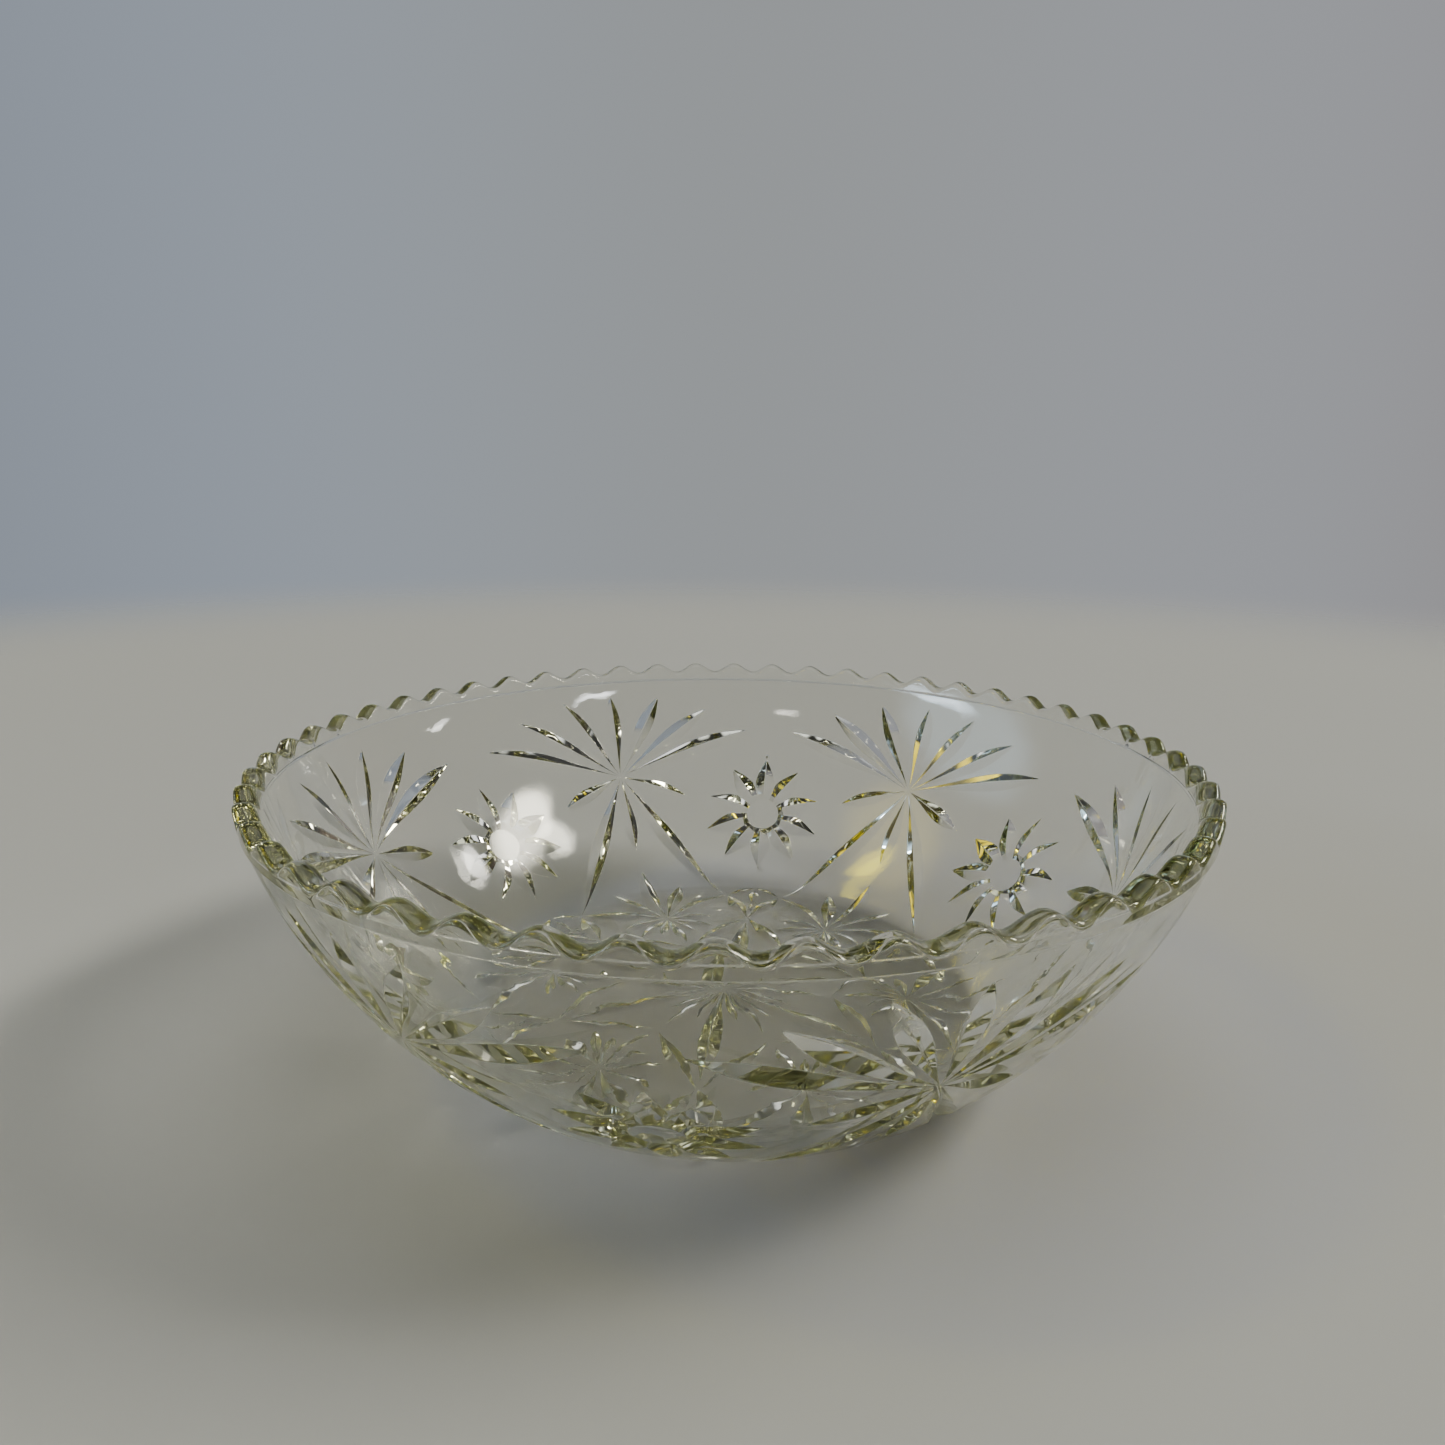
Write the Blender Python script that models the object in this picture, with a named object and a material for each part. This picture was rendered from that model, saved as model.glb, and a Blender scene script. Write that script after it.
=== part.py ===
"""A large pressed-glass punch bowl, in one piece.

The bowl is turned glass with a flat base, a rounded side and a scalloped rim. The inside is smooth.
The outside carries pressed V-shaped cuts in four motifs, each repeated six times round the bowl:
a palm-like fan high on the side, a ten-petalled rosette between fans, a star low down under each
fan, and a small lozenge under each rosette. A many-rayed star fills the middle of the underside.

The outside is described on its own unrolled surface. A point is given by its bearing round the
bowl and by its run, the distance along the plain outside from the centre of the base. Every cut is
a leaf shape with a valley line down its middle, and all of them are set out on that surface, filled
in between with a constrained triangulation, and wrapped back onto the bowl.

Lengths are millimetres and angles are degrees until the mesh is written in metres.
"""

import bmesh
import bpy
import numpy as np
from mathutils import Vector
from mathutils.geometry import delaunay_2d_cdt

METRES_PER_MM = 0.001

# Body
RIM_RADIUS = 138.0
BOWL_HEIGHT = 86.0
BASE_RADIUS = 72.0
CORNER_RADIUS = 22.0
CORNER_TURN = 38.5
WALL_THICKNESS = 5.8
FLOOR_THICKNESS = 7.0
FLOOR_RUN = 56.0
WALL_RUN = 98.0

# Rim
SCALLOPS = 52
SCALLOP_DEPTH = 3.8
LIP_ROUNDING = 2.9
LIP_STEPS = 3
COLUMNS_PER_SCALLOP = 4
RIM_RUN = 176.5

# Pattern. Each ray is its direction from straight up, its length and its width.
REPEATS = 6
CUT_SLOPE = 0.74
FAN_RUN = 136.9
FAN_RAYS = (
    (0, 35.4, 7.0),
    (32, 40.0, 7.0),
    (56, 50.0, 7.0),
    (72, 61.0, 7.0),
    (112, 28.7, 6.5),
    (180, 33.0, 6.0),
)
ROSETTE_RUN = 118.6
ROSETTE_RADIUS = 24.5
BUTTON_RADIUS = 7.5
PETALS = 10
PETAL_WIDTH = 8.2
NODE_BEARING = 7.7
NODE_RUN = 77.4
STAR_RUN = 58.0
STAR_RAYS = (
    (0, 37.0, 6.5),
    (27, 31.0, 6.0),
    (92, 17.0, 4.8),
    (125, 17.0, 4.4),
    (153, 14.0, 3.4),
    (180, 21.0, 4.0),
)
CROSSING_RUN = 55.9
MEETING_RUN = 33.0
ARCH_TOP_RUN = 83.6
LOZENGE_RUN = 69.5
LOZENGE_RAYS = ((0, 12.0, 4.4), (90, 2.4, 1.6), (180, 6.5, 2.0))
BASE_STAR_RAYS = ((0, 52.0, 6.5), (15, 22.0, 3.0), (30, 29.0, 4.0), (45, 22.0, 3.0))
LINK_WIDTH = 7.5
BAND_WIDTH = 6.4
ARCH_WIDTH = 3.6

# Shape of a cut along its length: where it is widest, and how slowly its ends open
LEAF = (1.5, 1.0)
PETAL = (0.78, 1.0)
LINK = (1.0, 1.5)

# Mesh
SEGMENT_LENGTH = 9.0
MOST_SEGMENTS = 6
FILL_SPACING = 9.0
FILL_MARGIN = 2.2
INNER_SPACING = 11.0
WELD = 0.001
SHARP_ANGLE = 14.0

# Side arc, from the corner's end to the rim
CORNER = np.radians(CORNER_TURN)
CORNER_END = CORNER_RADIUS * np.array([np.sin(CORNER), 1 - np.cos(CORNER)]) + (BASE_RADIUS, 0)
SIDE_CHORD = np.array([RIM_RADIUS, BOWL_HEIGHT]) - CORNER_END
SIDE_TURN = 2 * (np.arctan2(SIDE_CHORD[1], SIDE_CHORD[0]) - CORNER)
SIDE_RADIUS = np.hypot(*SIDE_CHORD) / (2 * np.sin(SIDE_TURN / 2))
SIDE_RUN = BASE_RADIUS + CORNER_RADIUS * CORNER
FULL_RUN = SIDE_RUN + SIDE_RADIUS * SIDE_TURN


def profile(run):
    """Radius, height and slope of the plain outside at a run from the centre of the base."""
    run = np.asarray(run, float)
    corner = np.clip((run - BASE_RADIUS) / CORNER_RADIUS, 0, CORNER)
    slope = corner + np.clip((run - SIDE_RUN) / SIDE_RADIUS, 0, SIDE_TURN)
    radius = np.minimum(run, BASE_RADIUS) + CORNER_RADIUS * np.sin(corner)
    radius = radius + SIDE_RADIUS * (np.sin(slope) - np.sin(corner))
    height = CORNER_RADIUS * (1 - np.cos(corner)) + SIDE_RADIUS * (np.cos(corner) - np.cos(slope))
    return radius, height, slope


def surface_points(bearing, run, depth):
    """Points in space, at a depth into the glass under a bearing (radians) and a run."""
    radius, height, slope = profile(run)
    radius = radius - depth * np.sin(slope)
    height = height + depth * np.cos(slope)
    return np.stack([radius * np.sin(bearing), radius * np.cos(bearing), height], -1)


def thickness(run):
    """Glass thickness, which eases from the floor's to the wall's."""
    ease = np.clip((np.asarray(run, float) - FLOOR_RUN) / (WALL_RUN - FLOOR_RUN), 0, 1)
    ease = ease * ease * (3 - 2 * ease)
    return FLOOR_THICKNESS + (WALL_THICKNESS - FLOOR_THICKNESS) * ease


def chart(bearing, run):
    """Place on the flat chart: the run is the distance from the middle, the bearing its direction."""
    return np.stack([run * np.sin(bearing), run * np.cos(bearing)], -1)


def leaf_cut(bearing, run, start, end, width, shape):
    """Rows of one cut (edge, valley, edge) as bearing, run and depth, tips included.

    start and end are (across, up) from the motif's centre, which lies at bearing and run.
    """
    start, end = np.array(start, float), np.array(end, float)
    length = np.hypot(*(end - start))
    segments = int(np.clip(round(length / SEGMENT_LENGTH), 2, MOST_SEGMENTS))
    along = np.linspace(0, 1, segments + 1)
    swell, cusp = shape
    half = width / 2 * np.sin(np.pi * along ** swell).clip(0) ** cusp
    side = np.array([-(end - start)[1], (end - start)[0]]) / length
    rows = []
    for across in (-1, 0, 1):
        place = start + np.outer(along, end - start) + np.outer(across * half, side)
        row_run = run + place[:, 1]
        reach = np.maximum(profile(row_run)[0], WELD)
        row_bearing = np.radians(bearing) + place[:, 0] / reach
        depth = CUT_SLOPE * half * (across == 0)
        rows.append(np.stack([row_bearing, row_run, depth], -1))
    return rows


def spoke(direction, length):
    """End of a spoke, as (across, up) from its motif's centre."""
    angle = np.radians(direction)
    return length * np.sin(angle), length * np.cos(angle)


def mirrored(rays):
    """The rays with their mirror images, without doubling those on the axis."""
    return [*rays, *((-direction, *rest) for direction, *rest in rays if direction % 180)]


def ray_cuts(axis, run, rays):
    """Leaf cuts that spread from one centre, at the bearing axis and a run."""
    return [leaf_cut(axis, run, (0, 0), spoke(way, length), width, LEAF) for way, length, width in rays]


def place_from(run, bearing, other_run):
    """A point at a bearing and a run, as (across, up) from a centre on bearing 0."""
    return np.radians(bearing) * profile(other_run)[0], other_run - run


def fan_cuts(axis):
    """Twelve rays of one fan. Its two long lower rays reach the nodes beside it."""
    cuts = ray_cuts(axis, FAN_RUN, mirrored(FAN_RAYS))
    for side in (-1, 1):
        node = place_from(FAN_RUN, side * (180 / REPEATS - NODE_BEARING), NODE_RUN)
        cuts.append(leaf_cut(axis, FAN_RUN, (0, 0), node, LINK_WIDTH, LINK))
    return cuts


def star_cuts(axis):
    """Twelve rays of the low star under a fan. Two of them reach the nodes beside it."""
    cuts = ray_cuts(axis, STAR_RUN, mirrored(STAR_RAYS))
    for side in (-1, 1):
        node = place_from(STAR_RUN, side * (180 / REPEATS - NODE_BEARING), NODE_RUN)
        cuts.append(leaf_cut(axis, STAR_RUN, (0, 0), node, BAND_WIDTH, LINK))
    return cuts


def rosette_cuts(axis):
    """Petals of one rosette, from its plain round button to their tips."""
    cuts = []
    for petal in range(PETALS):
        direction = 360 * petal / PETALS
        inner, tip = spoke(direction, BUTTON_RADIUS), spoke(direction, ROSETTE_RADIUS)
        cuts.append(leaf_cut(axis, ROSETTE_RUN, inner, tip, PETAL_WIDTH, PETAL))
    return cuts


def lozenge_cuts(axis):
    """The lozenge under a rosette: an arch above, crossing bands below and a small cross inside."""
    cuts = ray_cuts(axis, LOZENGE_RUN, mirrored(LOZENGE_RAYS))
    crossing = (0, CROSSING_RUN - LOZENGE_RUN)
    top = (0, ARCH_TOP_RUN - LOZENGE_RUN)
    for side in (-1, 1):
        node = place_from(LOZENGE_RUN, side * NODE_BEARING, NODE_RUN)
        meeting = place_from(LOZENGE_RUN, side * 180 / REPEATS, MEETING_RUN)
        cuts.append(leaf_cut(axis, LOZENGE_RUN, node, top, ARCH_WIDTH, LINK))
        cuts.append(leaf_cut(axis, LOZENGE_RUN, node, crossing, BAND_WIDTH, LINK))
        cuts.append(leaf_cut(axis, LOZENGE_RUN, crossing, meeting, BAND_WIDTH, LINK))
    return cuts


def base_star_cuts(axis):
    """The rays of the underside's star that fall in one repeat of the pattern."""
    cuts = []
    for bearing, length, width in BASE_STAR_RAYS:
        cuts.append(leaf_cut(axis + bearing, 0, (0, 0), (0, length), width, LEAF))
    return cuts


def all_cuts():
    """Every cut on the bowl, with a rosette at bearing 0 and fans halfway between rosettes."""
    cuts = []
    for repeat in range(REPEATS):
        axis = repeat * 360 / REPEATS
        fan_axis = axis + 180 / REPEATS
        cuts += rosette_cuts(axis) + lozenge_cuts(axis) + base_star_cuts(axis)
        cuts += fan_cuts(fan_axis) + star_cuts(fan_axis)
    return cuts


def ring(run, count, turn=0.0):
    """Bearings and runs of evenly spaced points round the bowl, turned by a share of a step."""
    return np.stack([(np.arange(count) + turn) * 2 * np.pi / count, np.full(count, run)], -1)


def filler(cuts):
    """Points of the plain glass between the cuts, in rings, clear of every cut."""
    rings = []
    for run in np.arange(FILL_SPACING, RIM_RUN - FILL_SPACING / 2, FILL_SPACING):
        per_repeat = round(2 * np.pi * run / FILL_SPACING / REPEATS)
        rings.append(ring(run, per_repeat * REPEATS, len(rings) % 2 / 2))
    places = np.concatenate(rings)
    spots = chart(places[:, 0], places[:, 1])
    clear = np.ones(len(spots), bool)
    for left, valley, right in cuts:
        left_edge, middle, right_edge = (chart(row[:, 0], row[:, 1]) for row in (left, valley, right))
        half = np.hypot(*(right_edge - left_edge).T) / 2
        for step in np.linspace(0, 1, 5)[:-1]:
            centres = middle[:-1] + step * (middle[1:] - middle[:-1])
            reach = half[:-1] + step * (half[1:] - half[:-1]) + FILL_MARGIN
            gaps = np.hypot(spots[:, None, 0] - centres[:, 0], spots[:, None, 1] - centres[:, 1])
            clear &= (gaps > reach).all(axis=1)
    return places[clear]


def triangulate(places, depths, edges):
    """Constrained triangulation on the chart, as places, depths and triangles.

    Points given twice, such as the tips of cuts that meet, become one.
    """
    spots = [Vector(spot) for spot in chart(places[:, 0], places[:, 1])]
    _, _, faces, sources, _, _ = delaunay_2d_cdt(spots, edges, [], 0, WELD)
    first = [min(source) for source in sources]
    return places[first], depths[first], faces, first


def outside_skin(rim_ring):
    """The patterned outside, up to the rim ring, whose points come first."""
    cuts = all_cuts()
    blocks, depths, edges = [rim_ring], [np.zeros(len(rim_ring))], []
    count = len(rim_ring)
    for rows in cuts:
        for row in rows:
            blocks.append(row[:, :2])
            depths.append(row[:, 2])
            edges += [(count + k, count + k + 1) for k in range(len(row) - 1)]
            count += len(row)
    fill = filler(cuts)
    blocks.append(fill)
    depths.append(np.zeros(len(fill)))
    return triangulate(np.concatenate(blocks), np.concatenate(depths), edges)


def inside_skin(rim_ring):
    """The smooth inside, up to the rim ring, whose points come first."""
    rings = [rim_ring]
    run = RIM_RUN - INNER_SPACING / 2
    while run > INNER_SPACING:
        rings.append(ring(run, round(2 * np.pi * profile(run)[0] / INNER_SPACING), len(rings) % 2 / 2))
        near_corner = BASE_RADIUS - INNER_SPACING < run < SIDE_RUN + INNER_SPACING
        run -= INNER_SPACING / (2 if near_corner else 1)
    rings.append(ring(0.0, 1))
    places = np.concatenate(rings)
    return triangulate(places, thickness(places[:, 1]), [])


def lip_rows(bearings):
    """Rows of points over the scalloped lip, from the outside ring to the inside ring."""
    top = FULL_RUN - SCALLOP_DEPTH / 2 * (1 - np.cos(SCALLOPS * bearings))
    rows = []
    for turn in np.linspace(0, np.pi, LIP_STEPS + 1):
        run = top - LIP_ROUNDING * (1 - np.sin(turn))
        depth = WALL_THICKNESS / 2 * (1 - np.cos(turn)) + 0 * run
        rows.append(surface_points(bearings, run, depth))
    return rows


def bowl_mesh():
    """The closed mesh of the bowl: outside skin, lip and inside skin on shared rings."""
    mesh = bmesh.new()
    columns = SCALLOPS * COLUMNS_PER_SCALLOP
    rim_ring = ring(RIM_RUN, columns)
    skins = []
    for places, depths, faces, first in (outside_skin(rim_ring), inside_skin(rim_ring)):
        points = surface_points(places[:, 0], places[:, 1], depths) * METRES_PER_MM
        verts = [mesh.verts.new(point) for point in points]
        for face in faces:
            mesh.faces.new([verts[k] for k in face])
        by_source = {source: vert for source, vert in zip(first, verts)}
        skins.append([by_source[k] for k in range(columns)])
    rows = [skins[0]]
    for row in lip_rows(rim_ring[:, 0]):
        rows.append([mesh.verts.new(point * METRES_PER_MM) for point in row])
    rows.append(skins[1])
    for lower, upper in zip(rows, rows[1:]):
        for k in range(columns):
            nxt = (k + 1) % columns
            mesh.faces.new((lower[k], lower[nxt], upper[nxt], upper[k]))
    bmesh.ops.triangulate(mesh, faces=[face for face in mesh.faces if len(face.verts) > 3])
    bmesh.ops.recalc_face_normals(mesh, faces=mesh.faces)
    data = bpy.data.meshes.new("bowl")
    mesh.to_mesh(data)
    mesh.free()
    return data


def glass_material():
    """Clear pressed glass with a faint straw-green tint."""
    material = bpy.data.materials.new("clear_glass")
    material.use_nodes = True
    shader = material.node_tree.nodes["Principled BSDF"]
    shader.inputs["Base Color"].default_value = (0.93, 0.95, 0.88, 1.0)
    shader.inputs["Metallic"].default_value = 0.0
    shader.inputs["Roughness"].default_value = 0.03
    shader.inputs["IOR"].default_value = 1.51
    shader.inputs["Transmission Weight"].default_value = 1.0
    return material


def make_bowl():
    """The bowl, standing on its base with its axis on Z."""
    data = bowl_mesh()
    data.materials.append(glass_material())
    data.shade_smooth()
    data.set_sharp_from_angle(angle=np.radians(SHARP_ANGLE))
    bowl = bpy.data.objects.new("bowl", data)
    bpy.context.scene.collection.objects.link(bowl)
    return bowl


for leftover in list(bpy.data.objects):
    bpy.data.objects.remove(leftover, do_unlink=True)
make_bowl()
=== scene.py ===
"""Looks of the pressed-glass punch bowl: a fine cut-glass mesh, its glass, and a studio.

The bowl's outside is described on its own unrolled surface. A point is given by its bearing round
the bowl (from +Y towards +X) and by its run, the distance along the plain outside from the centre
of the base. Each cut is a leaf-shaped V with softened edges and a softened valley, and it carries
its own surface normals, so that its facets refract cleanly.

Lengths are millimetres and angles are degrees until the mesh is written in metres.
"""

import bpy
import numpy as np
from mathutils import Matrix, Vector
from mathutils.geometry import delaunay_2d_cdt


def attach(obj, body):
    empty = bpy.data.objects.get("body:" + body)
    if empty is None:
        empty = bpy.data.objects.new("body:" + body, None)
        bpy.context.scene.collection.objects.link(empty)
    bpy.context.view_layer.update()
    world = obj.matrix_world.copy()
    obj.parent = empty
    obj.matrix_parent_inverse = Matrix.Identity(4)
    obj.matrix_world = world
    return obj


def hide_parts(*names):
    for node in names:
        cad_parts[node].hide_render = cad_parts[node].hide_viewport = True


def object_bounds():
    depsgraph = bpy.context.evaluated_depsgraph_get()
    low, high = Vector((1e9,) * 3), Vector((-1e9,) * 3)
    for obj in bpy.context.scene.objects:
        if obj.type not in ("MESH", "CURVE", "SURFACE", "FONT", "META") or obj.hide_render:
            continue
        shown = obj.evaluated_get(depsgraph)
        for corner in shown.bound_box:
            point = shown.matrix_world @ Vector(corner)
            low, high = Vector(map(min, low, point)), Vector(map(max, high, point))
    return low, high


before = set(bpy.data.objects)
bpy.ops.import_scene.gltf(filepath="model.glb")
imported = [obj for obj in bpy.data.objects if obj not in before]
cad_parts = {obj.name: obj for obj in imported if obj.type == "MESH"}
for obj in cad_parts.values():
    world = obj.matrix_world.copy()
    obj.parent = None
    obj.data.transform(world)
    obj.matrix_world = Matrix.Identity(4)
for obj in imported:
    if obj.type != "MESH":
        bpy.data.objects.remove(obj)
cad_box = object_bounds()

METRES_PER_MM = 0.001

# Body
RIM_RADIUS = 138.0
BOWL_HEIGHT = 86.0
BASE_RADIUS = 72.0
CORNER_RADIUS = 22.0
CORNER_TURN = 38.5
WALL_THICKNESS = 5.8
FLOOR_THICKNESS = 7.0
FLOOR_RUN = 56.0
WALL_RUN = 98.0

# Rim
SCALLOPS = 52
SCALLOP_DEPTH = 3.4
COLUMNS_PER_SCALLOP = 16
RIM_RUN = 176.0
LEDGE_RUN = 177.6
LEDGE_REACH = 0.35
LEDGE_STEP = 0.25
RIM_TAPER = 1.2
INNER_STEP = 0.22
LIP_HEIGHT = 2.1
LIP_POWER = 2.3
LIP_LEAN = 1.3

# Pattern. Each ray is its direction from straight up, its length and its width.
REPEATS = 6
CUT_SLOPE = 0.74
FAN_RUN = 136.9
FAN_RAYS = (
    (0, 35.4, 7.0),
    (32, 40.0, 7.0),
    (56, 50.0, 7.0),
    (72, 61.0, 7.0),
    (112, 28.7, 6.5),
    (180, 33.0, 6.0),
)
ROSETTE_RUN = 118.6
ROSETTE_RADIUS = 24.5
BUTTON_RADIUS = 6.5
BEVEL_RADIUS = 8.6
PETALS = 10
PETAL_START = 3.0
MEETING_RADIUS = 13.5
FACET_SOFTNESS = 0.07
PETAL_WIDTH = 8.8
NODE_BEARING = 7.7
NODE_RUN = 77.4
STAR_RUN = 58.0
STAR_RAYS = (
    (0, 37.0, 6.5),
    (27, 31.0, 6.0),
    (92, 17.0, 4.8),
    (125, 17.0, 4.4),
    (153, 14.0, 3.4),
    (180, 21.0, 4.0),
)
CROSSING_RUN = 55.9
MEETING_RUN = 33.0
ARCH_TOP_RUN = 83.6
LOZENGE_RUN = 69.5
LOZENGE_RAYS = ((0, 12.0, 4.4), (90, 2.4, 1.6), (180, 6.5, 2.0))
BASE_STAR_RAYS = ((0, 52.0, 6.5), (15, 22.0, 3.0), (30, 29.0, 4.0), (45, 22.0, 3.0))
LINK_WIDTH = 7.5
BAND_WIDTH = 6.4
ARCH_WIDTH = 3.6

# Shape of a cut along its length: where it is widest, and how slowly its ends open
LEAF = (1.5, 1.0)
PETAL = (0.85, 1.0)
LINK = (1.0, 1.5)

# Softening of a cut's edges and valley: the most, and the most as a share of its half width
EDGE_ROUNDING = (0.35, 0.22)
VALLEY_ROUNDING = (0.25, 0.14)

# Mesh
STATION_SPACING = 2.0
FEWEST_STATIONS = 5
FILL_SPACING = 2.8
FILL_MARGIN = 0.7
INNER_SPACING = 3.6
LIP_ROWS = 13
SIDE_ROWS = 5
LEDGE_ROWS = (176.9, 177.35, 177.5, 177.6, 177.7, 177.85, 178.05)
WELD = 0.0005
NUDGE = 0.01

# Glass. A wave is a noise scale per metre and the height of its bumps in metres.
WHITE = (1.0, 1.0, 1.0, 1.0)
GLASS_IOR = 1.51
GLASS_TINT = (0.68, 0.69, 0.45, 1.0)
GLASS_DENSITY = 18.0
WAVES = ((45.0, 0.0002), (160.0, 0.00002), (420.0, 0.000004))
WAVE_DETAIL = 1.5

# Studio. Lengths are metres and angles are degrees. The band is the world's colour near the
# horizon, by bearing. A panel is its name, bearing, rise, width, height, glow and colour. Its glow
# fades to nothing from the second distance in PANEL_FADE out to the first, in shares of its size.
FLOOR_REACH = 1.6
FLOOR_FADE = (0.75, 1.5)
FLOOR_COLUMNS = 96
FLOOR_GAP = 0.0001
FLOOR_COLOUR = (0.565, 0.573, 0.59, 1.0)
FLOOR_ROUGHNESS = 0.9
BAND = (
    (-179, (0.06, 0.06, 0.06, 1.0)),
    (-115, (0.05, 0.05, 0.05, 1.0)),
    (-72, (0.13, 0.14, 0.16, 1.0)),
    (-34, (0.31, 0.35, 0.41, 1.0)),
    (-8, (0.28, 0.285, 0.275, 1.0)),
    (22, (0.33, 0.35, 0.39, 1.0)),
    (44, (0.22, 0.17, 0.12, 1.0)),
    (66, (0.06, 0.045, 0.035, 1.0)),
    (179, (0.06, 0.06, 0.06, 1.0)),
)
CEILING = (0.055, 0.055, 0.055, 1.0)
CEILING_RISE = (20, 34)
PANEL_FADE = (0.5, 0.2)
PANEL_DISTANCE = 30.0
PANELS = (
    ("key", 77, 42, 36, 14, 19.0, (1.0, 0.96, 0.82)),
    ("key_side", 86, 49, 11, 10, 12.0, (1.0, 0.97, 0.84)),
    ("top", 12, 84, 60, 60, 1.1, (0.95, 0.97, 1.0)),
    ("low_right", 74, 17, 9, 1.6, 12.0, (1.0, 0.99, 0.96)),
    ("window", -105, 24, 60, 26, 1.5, (0.58, 0.79, 1.0)),
    ("window_bright", -122, 19, 34, 4.5, 9.0, (0.72, 0.85, 1.0)),
    ("warm_wall", -104, 50, 44, 30, 1.1, (1.0, 0.80, 0.08)),
    ("lamp", -99, 57, 8, 16, 7.0, (1.0, 0.86, 0.0)),
    ("back_right", 128, 24, 16, 1.8, 14.0, (0.95, 0.97, 1.0)),
    ("behind", -168, 31, 9, 2.4, 8.0, (1.0, 0.97, 0.9)),
    ("back_far_right", 52, 34, 9, 8, 16.0, (1.0, 0.97, 0.90)),
)

# Camera and view
CAMERA_PLACE = (0.0411, -0.3023, 0.1673)
CAMERA_LOOK = (-0.1409, 0.99, 0.0)
CAMERA_PITCH = 13.69
CAMERA_ROLL = 0.49
CAMERA_LENS = 25.99
CAMERA_SENSOR = 36.0
CAMERA_CLIP = (0.01, 50.0)
VIEW_LOOK = "AgX - Medium High Contrast"
MOST_BOUNCES = 64
GLASS_BOUNCES = 32

# Side arc, from the corner's end to the rim
CORNER = np.radians(CORNER_TURN)
CORNER_END = CORNER_RADIUS * np.array([np.sin(CORNER), 1 - np.cos(CORNER)]) + (BASE_RADIUS, 0)
SIDE_CHORD = np.array([RIM_RADIUS, BOWL_HEIGHT]) - CORNER_END
SIDE_TURN = 2 * (np.arctan2(SIDE_CHORD[1], SIDE_CHORD[0]) - CORNER)
SIDE_RADIUS = np.hypot(*SIDE_CHORD) / (2 * np.sin(SIDE_TURN / 2))
SIDE_RUN = BASE_RADIUS + CORNER_RADIUS * CORNER
FULL_RUN = SIDE_RUN + SIDE_RADIUS * SIDE_TURN


def profile(run):
    """Radius, height and slope of the plain outside at a run from the centre of the base."""
    run = np.asarray(run, float)
    corner = np.clip((run - BASE_RADIUS) / CORNER_RADIUS, 0, CORNER)
    slope = corner + np.maximum((run - SIDE_RUN) / SIDE_RADIUS, 0)
    radius = np.minimum(run, BASE_RADIUS) + CORNER_RADIUS * np.sin(corner)
    radius = radius + SIDE_RADIUS * (np.sin(slope) - np.sin(corner))
    height = CORNER_RADIUS * (1 - np.cos(corner)) + SIDE_RADIUS * (np.cos(corner) - np.cos(slope))
    return radius, height, slope


def surface_points(bearing, run, depth):
    """Points in space, at a depth into the glass under a bearing (radians) and a run."""
    radius, height, slope = profile(run)
    radius = radius - depth * np.sin(slope)
    height = height + depth * np.cos(slope)
    return np.stack([radius * np.sin(bearing), radius * np.cos(bearing), height], -1)


def outward(bearing, run):
    """Unit normals of the plain outside."""
    slope = profile(run)[2]
    flat = np.sin(slope)
    return np.stack([flat * np.sin(bearing), flat * np.cos(bearing), -np.cos(slope)], -1)


def unit(vectors):
    """The vectors at length 1."""
    return vectors / np.maximum(np.linalg.norm(vectors, axis=-1, keepdims=True), 1e-12)


def thickness(run):
    """Glass thickness, which eases from the floor's to the wall's."""
    ease = np.clip((np.asarray(run, float) - FLOOR_RUN) / (WALL_RUN - FLOOR_RUN), 0, 1)
    ease = ease * ease * (3 - 2 * ease)
    return FLOOR_THICKNESS + (WALL_THICKNESS - FLOOR_THICKNESS) * ease


def chart(bearing, run):
    """Place on the flat chart: the run is the distance from the middle, the bearing its direction."""
    return np.stack([run * np.sin(bearing), run * np.cos(bearing)], -1)


def spoke(direction, length):
    """End of a spoke, as (across, up) from its motif's centre."""
    angle = np.radians(direction)
    return length * np.sin(angle), length * np.cos(angle)


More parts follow.
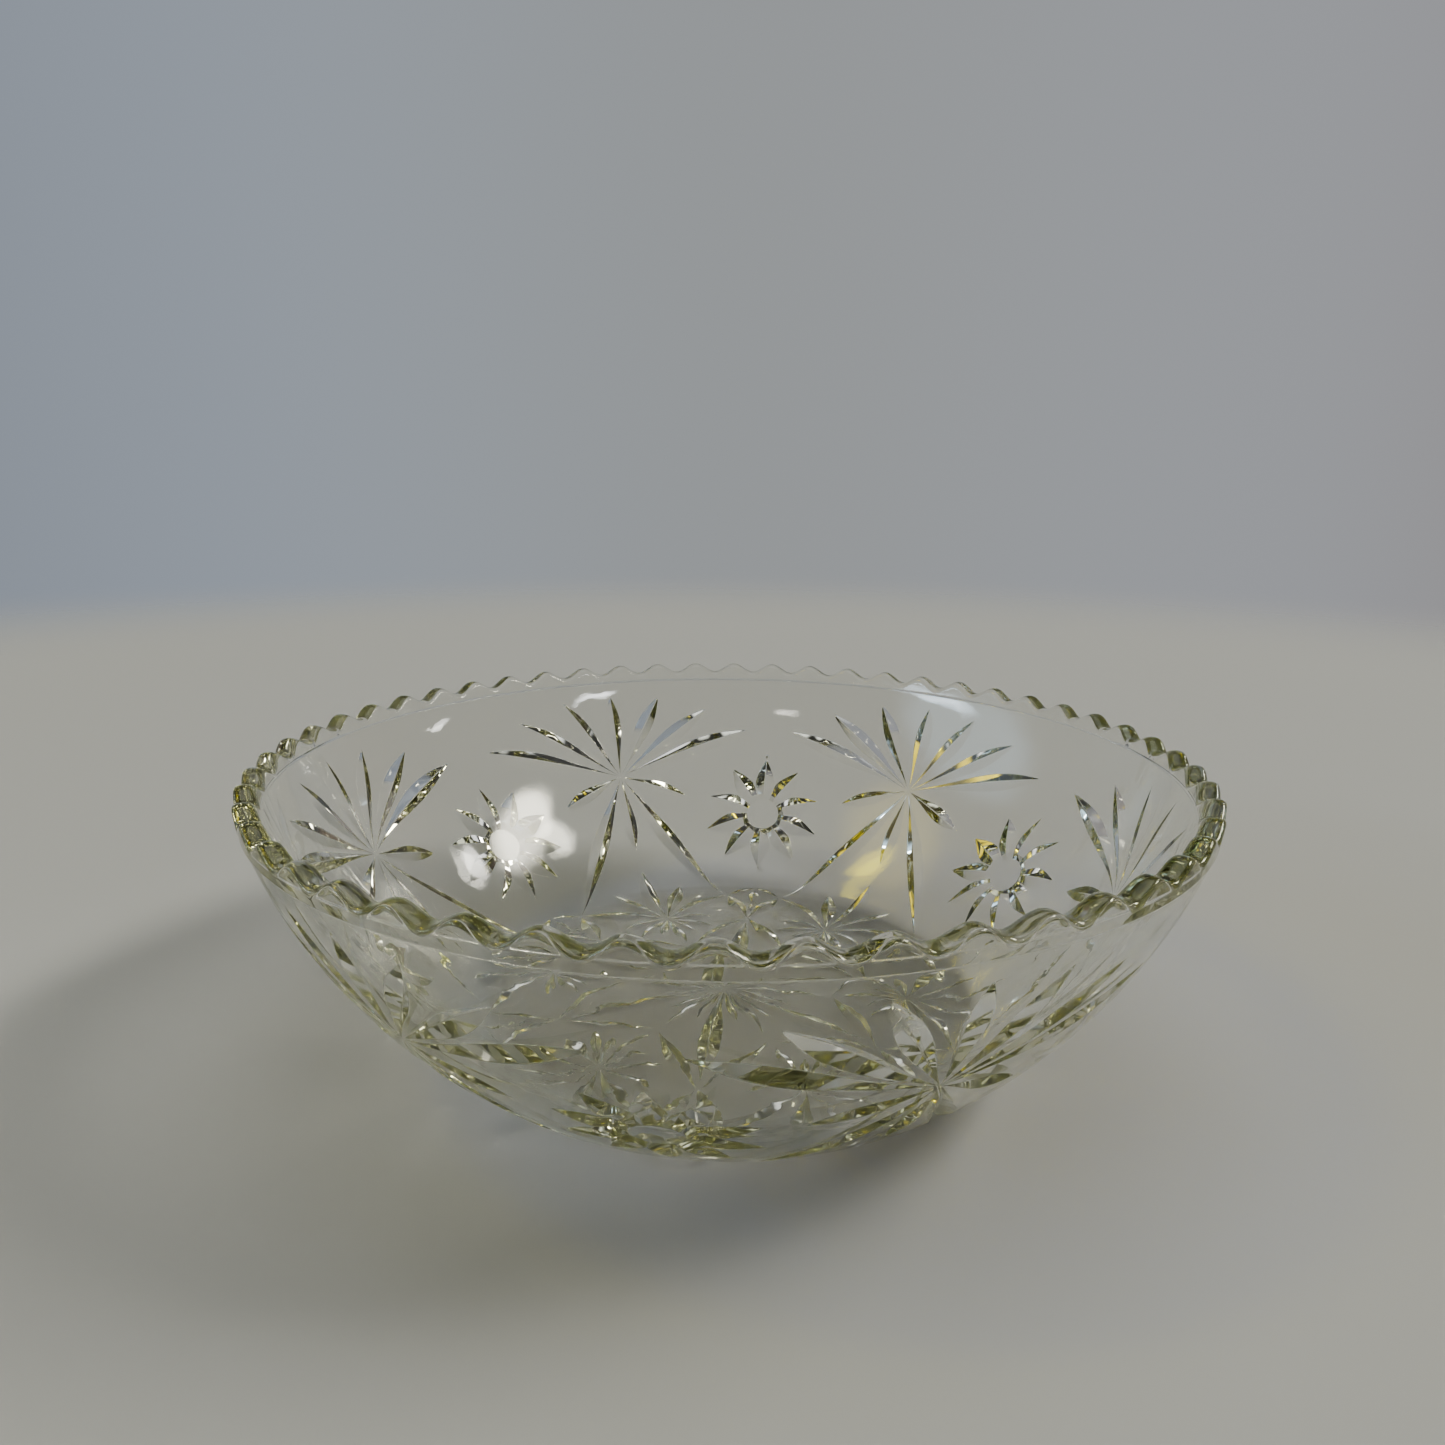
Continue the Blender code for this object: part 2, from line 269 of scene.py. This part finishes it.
class Cut:
    """One V-cut, between two points given as (across, up) from its motif's centre."""

    def __init__(self, bearing, run, start, end, width, shape, first=0.0, wedge=None):
        self.bearing = np.radians(bearing)
        self.run = run
        self.start = np.array(start, float)
        self.way = np.array(end, float) - self.start
        self.length = np.hypot(*self.way)
        self.side = np.array([-self.way[1], self.way[0]]) / self.length
        self.width = width
        self.shape = shape
        self.first = first
        self.wedge = wedge

    def half(self, along):
        """Half the cut's width at a share of its length."""
        swell, cusp = self.shape
        return self.width / 2 * np.sin(np.pi * along ** swell).clip(0) ** cusp

    def place(self, along, offset):
        """Bearing and run at a share of the length and an offset from the middle line."""
        spot = self.start + along[:, None] * self.way + offset[:, None] * self.side
        run = self.run + spot[:, 1]
        return self.bearing + spot[:, 0] / np.maximum(profile(run)[0], NUDGE), run

    def facet_normals(self, along, sign):
        """Normals of the facet on one side of the valley, at shares of the length."""
        step = 0.2 / self.length
        middle = sign * self.half(along) / 2

        def point(share, offset):
            bearing, run = self.place(share, offset)
            return surface_points(bearing, run, CUT_SLOPE * (self.half(share) - sign * offset))

        ahead, behind = (along + step).clip(0, 1), (along - step).clip(0, 1)
        lengthwise = point(ahead, middle) - point(behind, middle)
        across = point(along, middle + NUDGE) - point(along, middle - NUDGE)
        normals = unit(np.cross(lengthwise, across))
        facing = (normals * outward(*self.place(along, middle))).sum(-1, keepdims=True)
        return normals * np.where(facing < 0, -1, 1)

    def reach(self, along):
        """Half the width that the cut has to itself, between neighbours that meet it at a wedge."""
        half = self.half(along)
        if self.wedge is None:
            return half
        return np.minimum(half, (np.hypot(*self.start) + along * self.length) * self.wedge)

    def rows(self):
        """Rows of the cut from one edge to the other, as places, depths and normals."""
        stations = max(round(self.length / STATION_SPACING), FEWEST_STATIONS)
        along = np.linspace(self.first, 1, stations + 1)
        half = self.half(along)
        reach = self.reach(along)
        edge = np.minimum(EDGE_ROUNDING[0], EDGE_ROUNDING[1] * half)
        valley = np.minimum(VALLEY_ROUNDING[0], VALLEY_ROUNDING[1] * half)
        side = {sign: self.facet_normals(along, sign) for sign in (-1, 1)}
        middle = unit(side[-1] + side[1])
        shared = half - reach
        lost = edge / 2 * (shared == 0)
        layout = [
            (reach, shared, None),
            (reach - edge, shared + edge - lost, "facet"),
            (valley, half - valley - lost, "facet"),
            (0 * half, half - valley / 2 - lost, "valley"),
        ]
        rows = []
        for sign in (-1, 1):
            ordered = layout if sign < 0 else layout[-2::-1]
            for offset, depth, kind in ordered:
                bearing, run = self.place(along, sign * offset)
                normals = {None: outward(bearing, run), "facet": side[sign], "valley": middle}[kind]
                normals = np.where(half[:, None] < 0.02, outward(bearing, run), normals)
                rows.append((np.stack([bearing, run], -1), CUT_SLOPE * depth, normals))
        return rows


def mirrored(rays):
    """The rays with their mirror images, without doubling those on the axis."""
    return [*rays, *((-direction, *rest) for direction, *rest in rays if direction % 180)]


def ray_cuts(axis, run, rays):
    """Leaf cuts that spread from one centre, at the bearing axis and a run."""
    return [Cut(axis, run, (0, 0), spoke(way, length), width, LEAF) for way, length, width in rays]


def place_from(run, bearing, other_run):
    """A point at a bearing and a run, as (across, up) from a centre on bearing 0."""
    return np.radians(bearing) * profile(other_run)[0], other_run - run


def fan_cuts(axis):
    """Twelve rays of one fan. Its two long lower rays reach the nodes beside it."""
    cuts = ray_cuts(axis, FAN_RUN, mirrored(FAN_RAYS))
    for side in (-1, 1):
        node = place_from(FAN_RUN, side * (180 / REPEATS - NODE_BEARING), NODE_RUN)
        cuts.append(Cut(axis, FAN_RUN, (0, 0), node, LINK_WIDTH, LINK))
    return cuts


def star_cuts(axis):
    """Twelve rays of the low star under a fan. Two of them reach the nodes beside it."""
    cuts = ray_cuts(axis, STAR_RUN, mirrored(STAR_RAYS))
    for side in (-1, 1):
        node = place_from(STAR_RUN, side * (180 / REPEATS - NODE_BEARING), NODE_RUN)
        cuts.append(Cut(axis, STAR_RUN, (0, 0), node, BAND_WIDTH, LINK))
    return cuts


def rosette_cuts(axis):
    """Petals of one rosette. They start at the bevel of its button and meet their neighbours there."""
    cuts = []
    first = (BEVEL_RADIUS - PETAL_START) / (ROSETTE_RADIUS - PETAL_START)
    for petal in range(PETALS):
        direction = 360 * petal / PETALS
        inner, tip = spoke(direction, PETAL_START), spoke(direction, ROSETTE_RADIUS)
        wedge = np.tan(np.pi / PETALS)
        cuts.append(Cut(axis, ROSETTE_RUN, inner, tip, PETAL_WIDTH, PETAL, first, wedge))
    return cuts


def lozenge_cuts(axis):
    """The lozenge under a rosette: an arch above, crossing bands below and a small cross inside."""
    cuts = ray_cuts(axis, LOZENGE_RUN, mirrored(LOZENGE_RAYS))
    crossing = (0, CROSSING_RUN - LOZENGE_RUN)
    top = (0, ARCH_TOP_RUN - LOZENGE_RUN)
    for side in (-1, 1):
        node = place_from(LOZENGE_RUN, side * NODE_BEARING, NODE_RUN)
        meeting = place_from(LOZENGE_RUN, side * 180 / REPEATS, MEETING_RUN)
        cuts.append(Cut(axis, LOZENGE_RUN, node, top, ARCH_WIDTH, LINK))
        cuts.append(Cut(axis, LOZENGE_RUN, node, crossing, BAND_WIDTH, LINK))
        cuts.append(Cut(axis, LOZENGE_RUN, crossing, meeting, BAND_WIDTH, LINK))
    return cuts


def base_star_cuts(axis):
    """The rays of the underside's star that fall in one repeat of the pattern."""
    cuts = []
    for bearing, length, width in BASE_STAR_RAYS:
        cuts.append(Cut(axis + bearing, 0, (0, 0), (0, length), width, LEAF))
    return cuts


def all_cuts():
    """Every cut on the bowl, with a rosette at bearing 0 and fans halfway between rosettes."""
    cuts = []
    for repeat in range(REPEATS):
        axis = repeat * 360 / REPEATS
        fan_axis = axis + 180 / REPEATS
        cuts += rosette_cuts(axis) + lozenge_cuts(axis) + base_star_cuts(axis)
        cuts += fan_cuts(fan_axis) + star_cuts(fan_axis)
    return cuts


def button_rows(axis):
    """Closed rows of the bevel round a rosette's button, with two facets for each petal.

    A facet runs from the button's edge down to one side of a petal's V. Each row has two points for
    each facet, near its ends, so that the facets stay flat and only their corners are soft.
    """
    wedge = np.pi / PETALS
    petal = rosette_cuts(0)[0]
    deepest = CUT_SLOPE * petal.half(np.array([petal.first]))[0]
    ridge = deepest - CUT_SLOPE * BEVEL_RADIUS * np.tan(wedge)
    share = np.tile([FACET_SOFTNESS, 1 - FACET_SOFTNESS, FACET_SOFTNESS, 1 - FACET_SOFTNESS], PETALS)
    sign = np.tile([-1, -1, 1, 1], PETALS)
    towards_valley = np.where(sign < 0, share, 1 - share)
    turn = 2 * wedge * np.repeat(np.arange(PETALS), 4)
    lean = sign * wedge * (1 - towards_valley)
    inner = BUTTON_RADIUS * np.stack([np.sin(turn + lean), np.cos(turn + lean)], -1)
    aside = BEVEL_RADIUS * np.tan(wedge) * sign * (1 - towards_valley)
    outer = BEVEL_RADIUS * np.stack([np.sin(turn), np.cos(turn)], -1)
    outer = outer + aside[:, None] * np.stack([np.cos(turn), -np.sin(turn)], -1)
    bottom = ridge + (deepest - ridge) * towards_valley
    middle = turn + sign * wedge / 2
    slope = (deepest + ridge) / 2 / (BEVEL_RADIUS - BUTTON_RADIUS)
    twist = sign * (deepest - ridge) / (BEVEL_RADIUS * np.tan(wedge)) / 2
    rows = []
    for level, faceted in ((0.0, False), (FACET_SOFTNESS, True), (1 - FACET_SOFTNESS, True)):
        spot = inner + level * (outer - inner)
        run = ROSETTE_RUN + spot[:, 1]
        bearing = np.radians(axis) + spot[:, 0] / profile(run)[0]
        base = outward(bearing, run)
        round_way = np.stack([np.cos(bearing), -np.sin(bearing), 0 * bearing], -1)
        up_way = np.cross(round_way, base)
        radial = np.sin(middle)[:, None] * round_way + np.cos(middle)[:, None] * up_way
        aside_way = np.cos(middle)[:, None] * round_way - np.sin(middle)[:, None] * up_way
        tilted = unit(base + slope * radial - twist[:, None] * aside_way)
        rows.append((np.stack([bearing, run], -1), level * bottom, tilted if faceted else base))
    return rows


def ring(run, count, turn=0.0):
    """Bearings and runs of evenly spaced points round the bowl, turned by a share of a step."""
    return np.stack([(np.arange(count) + turn) * 2 * np.pi / count, np.full(count, run)], -1)


def filler(cuts):
    """Points of the plain glass between the cuts, in rings, clear of every cut."""
    rings = []
    for run in np.arange(FILL_SPACING, RIM_RUN - FILL_SPACING / 2, FILL_SPACING):
        rings.append(ring(run, round(2 * np.pi * run / FILL_SPACING), len(rings) % 2 / 2))
    places = np.concatenate(rings)
    radius = profile(places[:, 1])[0]
    clear = np.ones(len(places), bool)
    for cut in cuts:
        turn = (places[:, 0] - cut.bearing + np.pi) % (2 * np.pi) - np.pi
        spot = np.stack([turn * radius, places[:, 1] - cut.run], -1) - cut.start
        along = spot @ cut.way / cut.length ** 2
        offset = np.abs(spot @ cut.side)
        near = (along > 0) & (along < 1)
        clear &= ~(near & (offset < cut.half(along.clip(0, 1)) + FILL_MARGIN))
    for repeat in range(REPEATS):
        turn = (places[:, 0] - repeat * 2 * np.pi / REPEATS + np.pi) % (2 * np.pi) - np.pi
        gap = np.hypot(turn * radius, places[:, 1] - ROSETTE_RUN)
        clear &= (gap < BUTTON_RADIUS - FILL_MARGIN) | (gap > MEETING_RADIUS)
    return places[clear]


class Skin:
    """Points of one skin of the bowl, with the edges that its triangles must keep."""

    def __init__(self):
        self.places, self.depths, self.normals, self.edges = [], [], [], []
        self.count = 0

    def add(self, places, depths, normals, chain=False, closed=False):
        """Adds a row of points. A chain is kept as edges."""
        size = len(places)
        self.places.append(places)
        self.depths.append(depths)
        self.normals.append(normals)
        if chain:
            self.edges += [(self.count + k, self.count + k + 1) for k in range(size - 1)]
        if closed:
            self.edges.append((self.count + size - 1, self.count))
        self.count += size

    def triangles(self):
        """Points, normals and triangles in space, and the row index behind each point."""
        places = np.concatenate(self.places)
        depths = np.concatenate(self.depths)
        normals = np.concatenate(self.normals)
        spots = [Vector(spot) for spot in chart(places[:, 0], places[:, 1])]
        _, _, faces, sources, _, _ = delaunay_2d_cdt(spots, self.edges, [], 0, WELD)
        first = np.array([min(source) for source in sources])
        points = surface_points(places[first, 0], places[first, 1], depths[first])
        return points, normals[first], np.array([list(face) for face in faces]), first


def outside_skin(rim_ring):
    """The patterned outside, up to the rim ring, whose points come first."""
    skin = Skin()
    skin.add(rim_ring, np.zeros(len(rim_ring)), outward(*rim_ring.T))
    cuts = all_cuts()
    for cut in cuts:
        for row in cut.rows():
            skin.add(*row, chain=True)
    for repeat in range(REPEATS):
        for row in button_rows(repeat * 360 / REPEATS):
            skin.add(*row, chain=True, closed=True)
    fill = filler(cuts)
    skin.add(fill, np.zeros(len(fill)), outward(*fill.T))
    return skin.triangles()


def inner_normals(bearing, run):
    """Normals of the smooth inside, which point into the bowl."""
    behind = surface_points(bearing, run - NUDGE, thickness(run - NUDGE))
    ahead = surface_points(bearing, run + NUDGE, thickness(run + NUDGE))
    round_way = np.stack([np.cos(bearing), -np.sin(bearing), 0 * bearing], -1)
    return unit(np.cross(round_way, ahead - behind))


def inside_skin(rim_ring):
    """The smooth inside, up to the rim ring, whose points come first."""
    skin = Skin()
    rings = [rim_ring]
    for run in np.arange(RIM_RUN - INNER_SPACING, INNER_SPACING, -INNER_SPACING):
        count = round(2 * np.pi * profile(run)[0] / INNER_SPACING)
        rings.append(ring(run, count, len(rings) % 2 / 2))
    rings.append(ring(NUDGE, 1))
    places = np.concatenate(rings)
    bearing, run = places.T
    skin.add(places, thickness(run), inner_normals(bearing, run))
    return skin.triangles()


def smooth_step(value):
    """0 below 0, 1 above 1, and an even S in between."""
    value = np.clip(value, 0, 1)
    return value * value * (3 - 2 * value)


def rim_grid(bearings):
    """Rows over the rim, from the outside ring over the beads to the inside ring."""
    crest = (1 + np.cos(SCALLOPS * bearings)) / 2
    top = FULL_RUN - SCALLOP_DEPTH * (1 - crest)
    shoulder = top - LIP_HEIGHT
    rows = []

    def bulge(run):
        taper = RIM_TAPER * np.clip((run - LEDGE_RUN) / (FULL_RUN - LEDGE_RUN), 0, 1)
        return LEDGE_STEP * smooth_step((run - LEDGE_RUN) / LEDGE_REACH + 0.5) - taper

    def inside(run):
        return WALL_THICKNESS + INNER_STEP * smooth_step((run - LEDGE_RUN) / LEDGE_REACH + 0.5)

    for run in (RIM_RUN, *LEDGE_ROWS):
        rows.append((run + 0 * bearings, -bulge(run)))
    for share in np.linspace(0, 1, SIDE_ROWS + 1)[1:-1]:
        run = LEDGE_ROWS[-1] + share * (shoulder - LEDGE_ROWS[-1])
        rows.append((run, -bulge(run)))
    for turn in np.linspace(0, np.pi, LIP_ROWS):
        height = np.sin(turn) ** (2 / LIP_POWER)
        reach = np.sign(np.cos(turn)) * np.abs(np.cos(turn)) ** (2 / LIP_POWER)
        outer, inner = -bulge(shoulder), inside(shoulder)
        across = (1 - reach) / 2
        run = shoulder + LIP_HEIGHT * height - LIP_LEAN * across
        rows.append((run, outer + (inner - outer) * across))
    for share in np.linspace(1, 0, SIDE_ROWS + 1)[1:-1]:
        run = LEDGE_ROWS[-1] + share * (shoulder - LIP_LEAN - LEDGE_ROWS[-1])
        rows.append((run, inside(run)))
    for run in (*LEDGE_ROWS[::-1], RIM_RUN):
        rows.append((run + 0 * bearings, inside(run) + 0 * bearings))
    return np.array([surface_points(bearings, run, depth) for run, depth in rows])


def rim_normals(grid):
    """Normals over the rim, from its neighbours round and across."""
    round_way = np.roll(grid, -1, axis=1) - np.roll(grid, 1, axis=1)
    across = np.gradient(grid, axis=0)
    return unit(np.cross(across, round_way))


def bowl_arrays():
    """Points, normals and triangles of the closed bowl."""
    columns = SCALLOPS * COLUMNS_PER_SCALLOP
    rim_ring = ring(RIM_RUN, columns)
    grid = rim_grid(rim_ring[:, 0])
    grid_normals = rim_normals(grid)
    points, normals, faces, rings = [], [], [], []
    count = 0
    for skin in (outside_skin(rim_ring), inside_skin(rim_ring)):
        skin_points, skin_normals, skin_faces, first = skin
        order = np.full(first.max() + 1, -1)
        order[first] = np.arange(len(first)) + count
        rings.append(order[:columns])
        points.append(skin_points)
        normals.append(skin_normals)
        faces.append(skin_faces + count)
        count += len(skin_points)
    rows = [rings[0]]
    for row in range(1, len(grid) - 1):
        rows.append(np.arange(columns) + count)
        points.append(grid[row])
        normals.append(grid_normals[row])
        count += columns
    rows.append(rings[1])
    for lower, upper in zip(rows, rows[1:]):
        lower_next, upper_next = np.roll(lower, -1), np.roll(upper, -1)
        faces.append(np.stack([lower, lower_next, upper_next], -1))
        faces.append(np.stack([lower, upper_next, upper], -1))
    points, normals, faces = (np.concatenate(block) for block in (points, normals, faces))
    corners = points[faces]
    face_way = np.cross(corners[:, 1] - corners[:, 0], corners[:, 2] - corners[:, 0])
    backwards = (face_way * normals[faces].sum(axis=1)).sum(axis=1) < 0
    faces[backwards] = faces[backwards][:, ::-1]
    return points, normals, faces


def make_bowl():
    """The visible bowl, with its own normals on every point."""
    points, normals, faces = bowl_arrays()
    data = bpy.data.meshes.new("bowl_glass")
    data.from_pydata((points * METRES_PER_MM).tolist(), [], faces.tolist())
    data.shade_smooth()
    data.normals_split_custom_set_from_vertices(normals.tolist())
    bowl = bpy.data.objects.new("bowl_glass", data)
    bpy.context.scene.collection.objects.link(bowl)
    return bowl


def glass_material():
    """Clear pressed glass: slightly wavy, almost colourless where thin and olive where thick."""
    material = bpy.data.materials.new("clear_pressed_glass")
    material.use_nodes = True
    nodes, links = material.node_tree.nodes, material.node_tree.links
    shader = nodes["Principled BSDF"]
    shader.inputs["Base Color"].default_value = WHITE
    shader.inputs["Roughness"].default_value = 0.0
    shader.inputs["IOR"].default_value = GLASS_IOR
    shader.inputs["Transmission Weight"].default_value = 1.0
    tint = nodes.new("ShaderNodeVolumeAbsorption")
    tint.inputs["Color"].default_value = GLASS_TINT
    tint.inputs["Density"].default_value = GLASS_DENSITY
    links.new(tint.outputs["Volume"], nodes["Material Output"].inputs["Volume"])
    place = nodes.new("ShaderNodeTexCoord")
    normal = None
    for scale, distance in WAVES:
        noise = nodes.new("ShaderNodeTexNoise")
        noise.inputs["Scale"].default_value = scale
        noise.inputs["Detail"].default_value = WAVE_DETAIL
        links.new(place.outputs["Object"], noise.inputs["Vector"])
        bump = nodes.new("ShaderNodeBump")
        bump.inputs["Distance"].default_value = distance
        links.new(noise.outputs["Fac"], bump.inputs["Height"])
        if normal:
            links.new(normal, bump.inputs["Normal"])
        normal = bump.outputs["Normal"]
    links.new(normal, shader.inputs["Normal"])
    return material


def floor():
    """A plain round floor, flat and level, that fades into the world at its edge."""
    turn = np.arange(FLOOR_COLUMNS) * 2 * np.pi / FLOOR_COLUMNS
    points = [(FLOOR_REACH * np.sin(angle), FLOOR_REACH * np.cos(angle), 0) for angle in turn]
    data = bpy.data.meshes.new("floor")
    data.from_pydata(points, [], [tuple(range(FLOOR_COLUMNS))[::-1]])
    plane = bpy.data.objects.new("floor", data)
    plane.location.z = cad_box[0][2] - FLOOR_GAP
    bpy.context.scene.collection.objects.link(plane)
    data.materials.append(floor_material())
    return plane


def floor_material():
    """Matt off-white, clear at the floor's outer edge."""
    material = bpy.data.materials.new("pale_floor")
    material.use_nodes = True
    nodes, links = material.node_tree.nodes, material.node_tree.links
    shader = nodes["Principled BSDF"]
    shader.inputs["Base Color"].default_value = FLOOR_COLOUR
    shader.inputs["Roughness"].default_value = FLOOR_ROUGHNESS
    place = nodes.new("ShaderNodeTexCoord")
    distance = nodes.new("ShaderNodeVectorMath")
    distance.operation = "LENGTH"
    links.new(place.outputs["Object"], distance.inputs[0])
    fade = ease(nodes, links, distance.outputs["Value"], FLOOR_FADE)
    clear = nodes.new("ShaderNodeMath")
    clear.operation = "SUBTRACT"
    clear.inputs[0].default_value = 1
    links.new(fade, clear.inputs[1])
    links.new(clear.outputs["Value"], shader.inputs["Alpha"])
    return material


def ease(nodes, links, source, limits):
    """A node that eases from 0 to 1 as the source goes from one limit to the other."""
    node = nodes.new("ShaderNodeMapRange")
    node.interpolation_type = "SMOOTHERSTEP"
    node.inputs["From Min"].default_value, node.inputs["From Max"].default_value = limits
    links.new(source, node.inputs["Value"])
    return node.outputs["Result"]


def sky():
    """A soft world: a pale band in front, dim behind the camera, and a dim ceiling above."""
    world = bpy.data.worlds.new("studio")
    bpy.context.scene.world = world
    world.use_nodes = True
    nodes, links = world.node_tree.nodes, world.node_tree.links
    where = nodes.new("ShaderNodeTexCoord")
    split = nodes.new("ShaderNodeSeparateXYZ")
    links.new(where.outputs["Generated"], split.inputs["Vector"])
    bearing = nodes.new("ShaderNodeMath")
    bearing.operation = "ARCTAN2"
    links.new(split.outputs["X"], bearing.inputs[0])
    links.new(split.outputs["Y"], bearing.inputs[1])
    turn = nodes.new("ShaderNodeMapRange")
    turn.inputs["From Min"].default_value = -np.pi
    turn.inputs["From Max"].default_value = np.pi
    links.new(bearing.outputs["Value"], turn.inputs["Value"])
    band = nodes.new("ShaderNodeValToRGB")
    band.color_ramp.interpolation = "B_SPLINE"
    links.new(turn.outputs["Result"], band.inputs["Fac"])
    stops = band.color_ramp.elements
    while len(stops) < len(BAND):
        stops.new(0.5)
    for stop, (angle, colour) in zip(stops, BAND):
        stop.position = angle / 360 + 0.5
        stop.color = colour
    rise = [np.sin(np.radians(angle)) for angle in CEILING_RISE]
    mix = nodes.new("ShaderNodeMixRGB")
    links.new(ease(nodes, links, split.outputs["Z"], rise), mix.inputs["Fac"])
    links.new(band.outputs["Color"], mix.inputs["Color1"])
    mix.inputs["Color2"].default_value = CEILING
    links.new(mix.outputs["Color"], nodes["Background"].inputs["Color"])


def soften(data):
    """Fades a light's glow towards its own edge."""
    data.use_nodes = True
    nodes, links = data.node_tree.nodes, data.node_tree.links
    where = nodes.new("ShaderNodeNewGeometry")
    middle = nodes.new("ShaderNodeVectorMath")
    middle.operation = "DISTANCE"
    middle.inputs[1].default_value = (0.5, 0.5, 0.0)
    links.new(where.outputs["Parametric"], middle.inputs[0])
    fade = ease(nodes, links, middle.outputs["Value"], PANEL_FADE)
    links.new(fade, nodes["Emission"].inputs["Strength"])


def panel(name, bearing, rise, width, height, glow, colour):
    """A distant soft-edged light, turned to the bowl. Its width and height are angles."""
    data = bpy.data.lights.new(name, "AREA")
    data.shape = "ELLIPSE"
    width, height = (2 * PANEL_DISTANCE * np.tan(np.radians(size) / 2) for size in (width, height))
    data.size, data.size_y = width, height
    data.energy = glow * np.pi * width * height * np.pi / 4
    data.color = colour
    soften(data)
    light = bpy.data.objects.new(name, data)
    bearing, rise = np.radians(bearing), np.radians(rise)
    way = Vector((np.sin(bearing) * np.cos(rise), np.cos(bearing) * np.cos(rise), np.sin(rise)))
    light.location = way * PANEL_DISTANCE
    light.rotation_euler = way.to_track_quat("Z", "Y").to_euler()
    light.visible_camera = False
    bpy.context.scene.collection.objects.link(light)


def camera():
    """The camera, a little above the rim and looking gently down."""
    data = bpy.data.cameras.new("camera")
    data.sensor_width = CAMERA_SENSOR
    data.lens = CAMERA_LENS
    data.clip_start, data.clip_end = CAMERA_CLIP
    eye = bpy.data.objects.new("camera", data)
    bpy.context.scene.collection.objects.link(eye)
    pitch, roll = np.radians(CAMERA_PITCH), np.radians(CAMERA_ROLL)
    forward = Vector(CAMERA_LOOK).normalized() * np.cos(pitch) + Vector((0, 0, -np.sin(pitch)))
    right = forward.cross(Vector((0, 0, 1))).normalized()
    up = right.cross(forward)
    turned_right = right * np.cos(roll) + up * np.sin(roll)
    turned_up = up * np.cos(roll) - right * np.sin(roll)
    turn = Matrix((turned_right, turned_up, -forward)).transposed()
    eye.matrix_world = Matrix.Translation(CAMERA_PLACE) @ turn.to_4x4()
    bpy.context.scene.camera = eye


def view():
    """The view's contrast, and enough bounces for light that is reflected many times in the glass."""
    bpy.context.scene.view_settings.look = VIEW_LOOK
    cycles = bpy.context.scene.cycles
    cycles.max_bounces = MOST_BOUNCES
    cycles.glossy_bounces = GLASS_BOUNCES
    cycles.transmission_bounces = GLASS_BOUNCES


camera()
bowl = make_bowl()
bowl.data.materials.append(glass_material())
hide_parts("bowl")
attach(bowl, "root")
floor()
sky()
for light in PANELS:
    panel(*light)

view()
